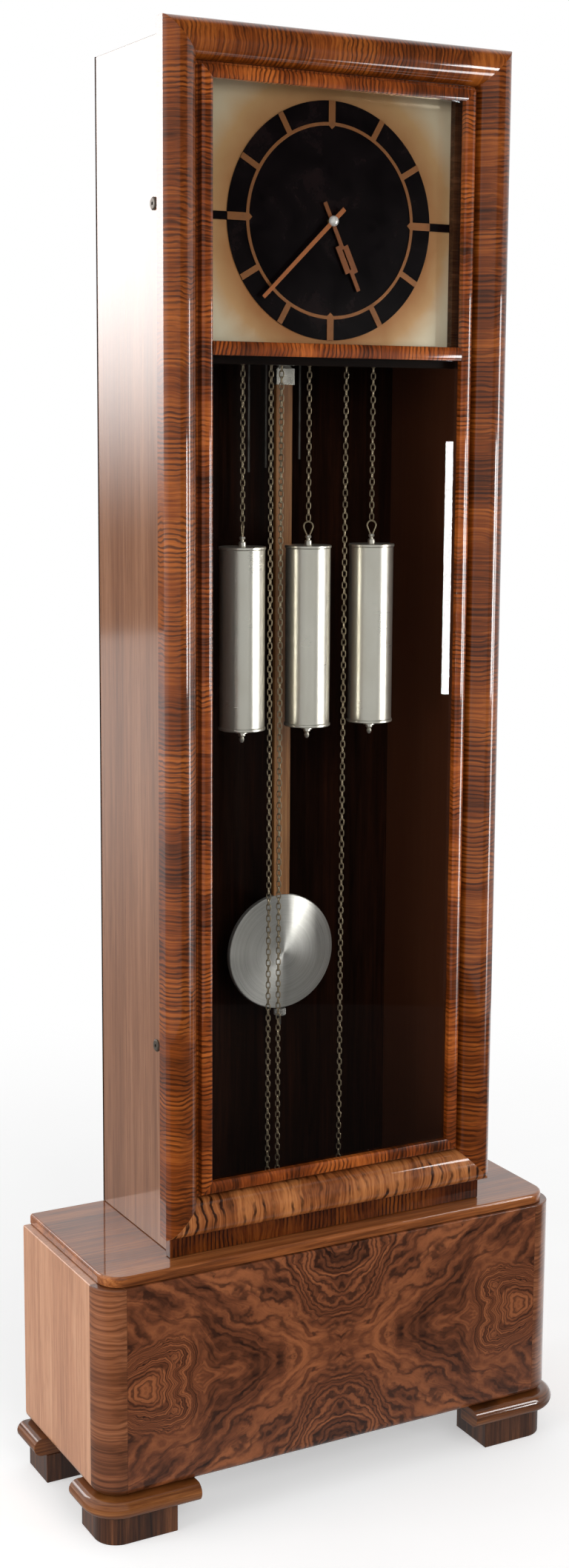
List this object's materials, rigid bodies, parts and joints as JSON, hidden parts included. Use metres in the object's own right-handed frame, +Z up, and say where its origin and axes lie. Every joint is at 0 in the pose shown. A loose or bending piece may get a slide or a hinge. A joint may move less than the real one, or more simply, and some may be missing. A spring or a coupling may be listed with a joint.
{
  "type": "longcase clock",
  "caption": "Tall weight-driven floor clock with a full-height glazed door, dark round dial, long pendulum and cylindrical weights on chains, on a wide rounded base with block feet.",
  "frame": {"origin": "on the floor, under the middle of the clock's width and depth", "axes": "+Z up, +X to the right as the dial is read, the front faces -Y"},
  "size_m": [0.764, 0.29, 2],
  "materials": {
    "walnut_polished": "polished veneer, high gloss",
    "walnut_burl": "polished burl veneer, high gloss",
    "walnut_rail": "polished, gloss",
    "walnut_foot": "polished, dark",
    "case_inside": "dark stained, satin",
    "rod_wood": "varnished, satin",
    "nickel": "polished nickel",
    "brushed_steel": "circular brushed",
    "brass": "satin",
    "dial_plate": "champagne, brushed",
    "dial_black": "satin black",
    "copper": "copper coloured, satin",
    "glass": "clear"
  },
  "bodies": {
    "case": {"foot_front_left": "walnut_foot", "foot_front_right": "walnut_foot", "foot_back_left": "walnut_foot", "foot_back_right": "walnut_foot", "rail_front_left": "walnut_rail", "rail_front_right": "walnut_rail", "rail_back_left": "walnut_rail", "rail_back_right": "walnut_rail", "base_front": "walnut_burl", "base_side_left": "walnut_polished", "base_side_right": "walnut_polished", "base_top": "walnut_polished", "case_side_left": "walnut_polished", "case_side_right": "walnut_polished", "case_top": "walnut_polished", "case_strip": "walnut_polished", "base_back": "case_inside", "base_bottom": "case_inside", "case_back": "case_inside", "dial_surround": "case_inside", "seat_board": "case_inside", "hinge_case_leaf": "brass", "movement": "brass", "chime_rods": "nickel", "dial_plate": "dial_plate", "dial_disc": "dial_black", "dial_ring": "copper", "chain_left": "nickel", "tail_left": "nickel", "chain_middle": "nickel", "tail_middle": "nickel", "chain_right": "nickel", "tail_right": "nickel"},
    "door": {"door_moulding_top": "walnut_polished", "door_moulding_bottom": "walnut_polished", "door_moulding_left": "walnut_polished", "door_moulding_right": "walnut_polished", "door_glazing_moulding": "walnut_polished", "door_crossbar": "walnut_polished", "door_glass_upper": "glass", "door_glass_lower": "glass", "hinge_door_leaf": "brass", "catch_upper": "brass", "catch_lower": "brass"},
    "latch_upper": {"latch_upper": "nickel"},
    "latch_lower": {"latch_lower": "nickel"},
    "minute_hand": {"minute_hand": "copper"},
    "hour_hand": {"hour_hand": "copper"},
    "pendulum": {"pendulum_fitting": "nickel", "pendulum_rod": "rod_wood", "pendulum_bob": "brushed_steel", "rating_nut": "nickel"},
    "weight_left": {"weight_left": "nickel"},
    "tail_end_left": {"tail_end_left": "nickel"},
    "weight_middle": {"weight_middle": "nickel"},
    "tail_end_middle": {"tail_end_middle": "nickel"},
    "weight_right": {"weight_right": "nickel"},
    "tail_end_right": {"tail_end_right": "nickel"}
  },
  "joints": [
    {"name": "door_swing", "type": "hinge", "parent": "case", "child": "door", "pos_m": [0.2456, -0.0836, 0.4113], "axis": [0, 0, 1], "range_deg": [0, 105]},
    {"name": "latch_upper_turn", "type": "hinge", "parent": "case", "child": "latch_upper", "pos_m": [-0.242, -0.0402, 1.779], "axis": [1, 0, 0], "range_deg": [0, 90]},
    {"name": "latch_lower_turn", "type": "hinge", "parent": "case", "child": "latch_lower", "pos_m": [-0.242, -0.0402, 0.665], "axis": [1, 0, 0], "range_deg": [0, 90]},
    {"name": "minute_hand_turn", "type": "hinge", "parent": "case", "child": "minute_hand", "pos_m": [0, -0.0802, 1.766], "axis": [0, 1, 0], "continuous": true},
    {"name": "hour_hand_turn", "type": "hinge", "parent": "case", "child": "hour_hand", "pos_m": [0, -0.0802, 1.766], "axis": [0, 1, 0], "continuous": true},
    {"name": "pendulum_swing", "type": "hinge", "parent": "case", "child": "pendulum", "pos_m": [0, 0.056, 1.66], "axis": [0, 1, 0], "range_deg": [-3.5, 3.5]},
    {"name": "weight_left_slide", "type": "slide", "parent": "case", "child": "weight_left", "axis": [0, 0, 1], "range_m": [-0.6, 0.19], "deforming": ["chain_left"]},
    {"name": "tail_left_slide", "type": "slide", "parent": "case", "child": "tail_end_left", "axis": [0, 0, 1], "range_m": [-0.19, 0.6], "deforming": ["tail_left"]},
    {"name": "weight_middle_slide", "type": "slide", "parent": "case", "child": "weight_middle", "axis": [0, 0, 1], "range_m": [-0.6, 0.19], "deforming": ["chain_middle"]},
    {"name": "tail_middle_slide", "type": "slide", "parent": "case", "child": "tail_end_middle", "axis": [0, 0, 1], "range_m": [-0.19, 0.6], "deforming": ["tail_middle"]},
    {"name": "weight_right_slide", "type": "slide", "parent": "case", "child": "weight_right", "axis": [0, 0, 1], "range_m": [-0.6, 0.19], "deforming": ["chain_right"]},
    {"name": "tail_right_slide", "type": "slide", "parent": "case", "child": "tail_end_right", "axis": [0, 0, 1], "range_m": [-0.19, 0.6], "deforming": ["tail_right"]}
  ],
  "couplings": [
    {"joint": "hour_hand_turn", "follows": "minute_hand_turn", "ratio": 0.083333},
    {"joint": "tail_left_slide", "follows": "weight_left_slide", "ratio": -1},
    {"joint": "tail_middle_slide", "follows": "weight_middle_slide", "ratio": -1},
    {"joint": "tail_right_slide", "follows": "weight_right_slide", "ratio": -1}
  ]
}
